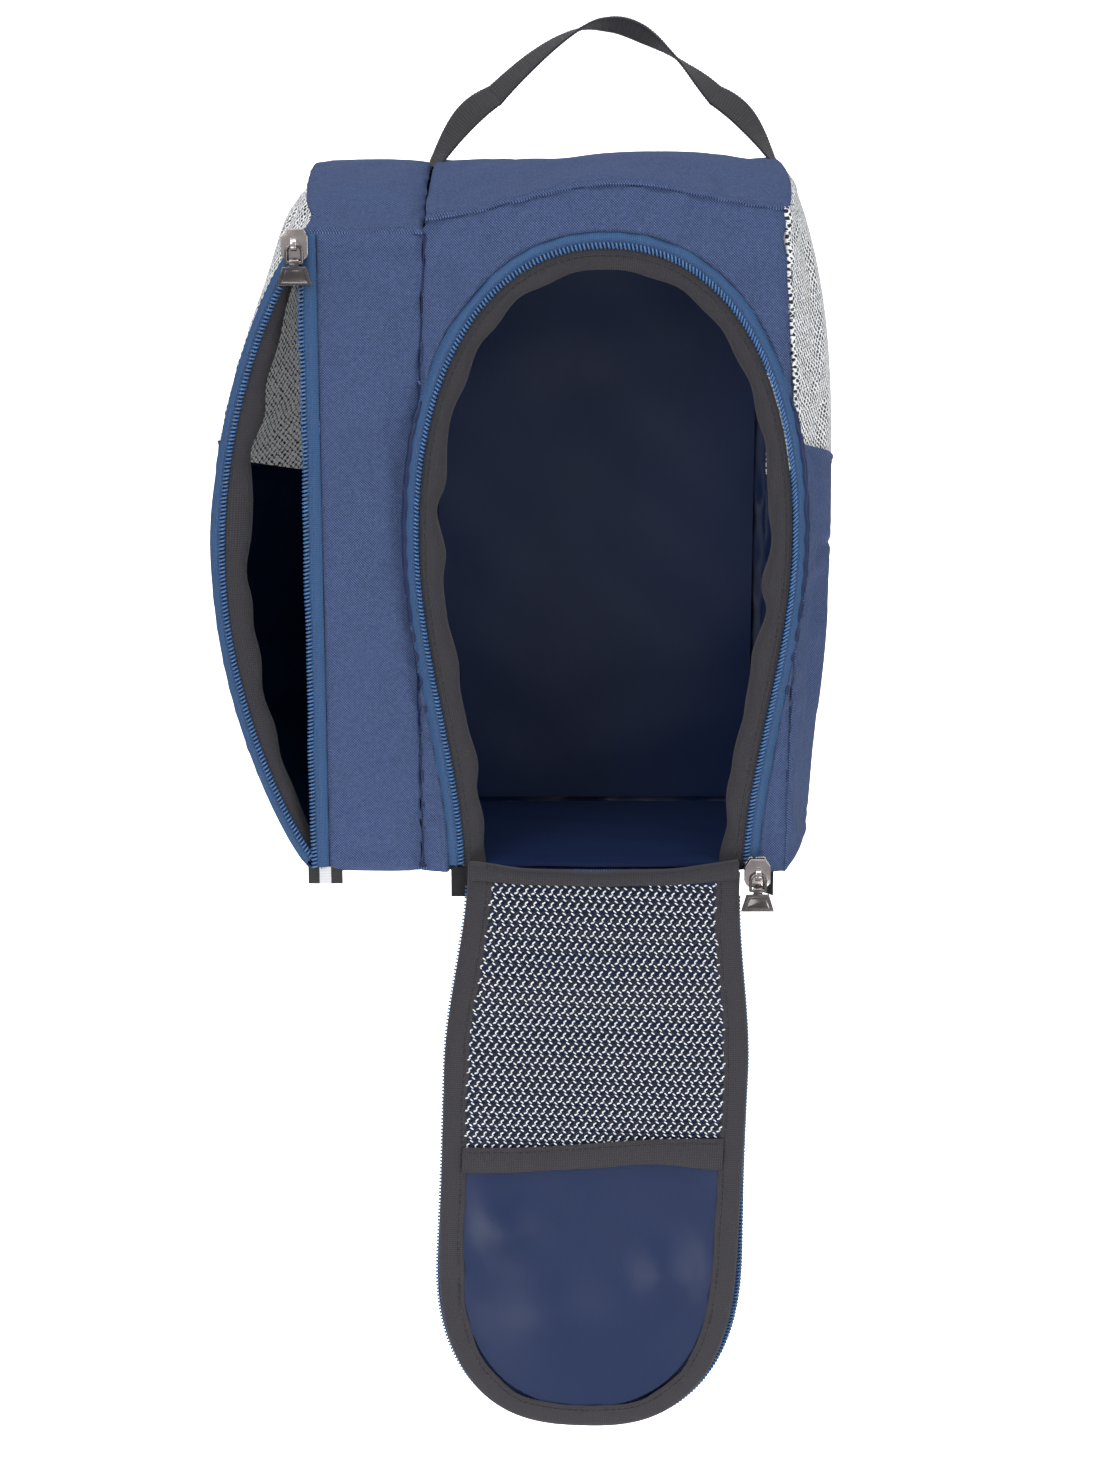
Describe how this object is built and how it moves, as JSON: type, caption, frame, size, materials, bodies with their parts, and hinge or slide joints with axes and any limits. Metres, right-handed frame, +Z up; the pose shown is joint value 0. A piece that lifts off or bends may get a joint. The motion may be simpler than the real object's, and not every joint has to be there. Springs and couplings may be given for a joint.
{
  "type": "golf shoe bag",
  "caption": "Upright shoe bag with an arched zip-round front door, a zipped side pocket, mesh side vents and a webbing carry handle.",
  "frame": {"origin": "centre of the base panel's underside", "axes": "+Z up along the bag's height, -Y the front with the door, +X to the right of someone facing the front"},
  "size_m": [0.3089, 0.1463, 0.6927],
  "materials": {
    "navy_fabric": "woven polyester twill, satin",
    "coated_lining": "coated woven lining, semi-gloss",
    "vent_mesh": "two-tone spacer mesh",
    "net": "open net",
    "board": "stiffener board",
    "foam": "padding",
    "binding_ribbon": "woven binding tape",
    "zip_tape": "woven zip tape",
    "zip_coil": "nylon coil",
    "tab_ribbon": "striped grosgrain ribbon",
    "webbing": "ribbed webbing",
    "pull_metal": "gunmetal plated"
  },
  "bodies": {
    "bag": {"base_panel": "navy_fabric", "base_board": "board", "back_panel": "navy_fabric", "back_lining": "coated_lining", "divider_panel": "coated_lining", "main_top_panel": "navy_fabric", "pocket_top_panel": "navy_fabric", "main_front_panel": "navy_fabric", "pocket_front_panel": "navy_fabric", "right_side_panel": "navy_fabric", "right_side_mesh": "vent_mesh", "left_side_panel": "navy_fabric", "left_side_mesh": "vent_mesh", "main_facing": "binding_ribbon", "main_zip_tape": "zip_tape", "main_zip_coil": "zip_coil", "sill_band": "binding_ribbon", "pocket_zip_tape": "zip_tape", "pocket_zip_coil": "zip_coil", "pocket_lip_tape": "zip_tape", "pocket_lip_coil": "zip_coil", "pocket_lip_facing": "binding_ribbon", "pocket_zip_tab": "tab_ribbon", "main_zip_tab_left": "tab_ribbon", "main_zip_tab_right": "tab_ribbon", "handle_end_left": "webbing", "handle_end_right": "webbing", "main_slider": "pull_metal", "main_slider_bridge": "pull_metal"},
    "door": {"door_outer": "navy_fabric", "door_foam": "foam", "door_lining": "coated_lining", "door_binding": "binding_ribbon", "door_mesh_pocket": "net", "door_pocket_band": "binding_ribbon", "door_zip_tape": "zip_tape", "door_zip_coil": "zip_coil", "door_hinge_band": "binding_ribbon"},
    "handle": {"handle_webbing": "webbing"},
    "pocket_slider": {"pocket_slider": "pull_metal", "pocket_slider_bridge": "pull_metal"},
    "pocket_ring": {"pocket_pull_ring": "pull_metal"},
    "pocket_plate": {"pocket_pull_plate": "pull_metal"},
    "main_ring": {"main_pull_ring": "pull_metal"},
    "main_plate": {"main_pull_plate": "pull_metal"}
  },
  "joints": [
    {"name": "door_hinge", "type": "hinge", "parent": "bag", "child": "door", "pos_m": [0.026, -0.0704, -0.001], "axis": [-0.9998, 0, 0.0175], "range_deg": [0, 180]},
    {"name": "handle_swing", "type": "hinge", "parent": "bag", "child": "handle", "pos_m": [0.0268, 0.015, 0.345], "axis": [1, 0, 0], "range_deg": [-75, 75]},
    {"name": "pocket_zip_slide", "type": "slide", "parent": "bag", "child": "pocket_slider", "axis": [0, 0, -1], "range_m": [0, 0.27]},
    {"name": "pocket_ring_swing", "type": "hinge", "parent": "pocket_slider", "child": "pocket_ring", "pos_m": [-0.1164, -0.0717, 0.2985], "axis": [-1, 0, 0], "range_deg": [0, 150]},
    {"name": "pocket_plate_swing", "type": "hinge", "parent": "pocket_ring", "child": "pocket_plate", "pos_m": [-0.1164, -0.0717, 0.2905], "axis": [-1, 0, 0], "range_deg": [-10, 60]},
    {"name": "main_ring_swing", "type": "hinge", "parent": "bag", "child": "main_ring", "pos_m": [0.1002, -0.0745, 0.0015], "axis": [-1, 0, 0], "range_deg": [0, 125]},
    {"name": "main_plate_swing", "type": "hinge", "parent": "main_ring", "child": "main_plate", "pos_m": [0.1002, -0.0745, -0.0065], "axis": [-1, 0, 0], "range_deg": [0, 45]}
  ]
}
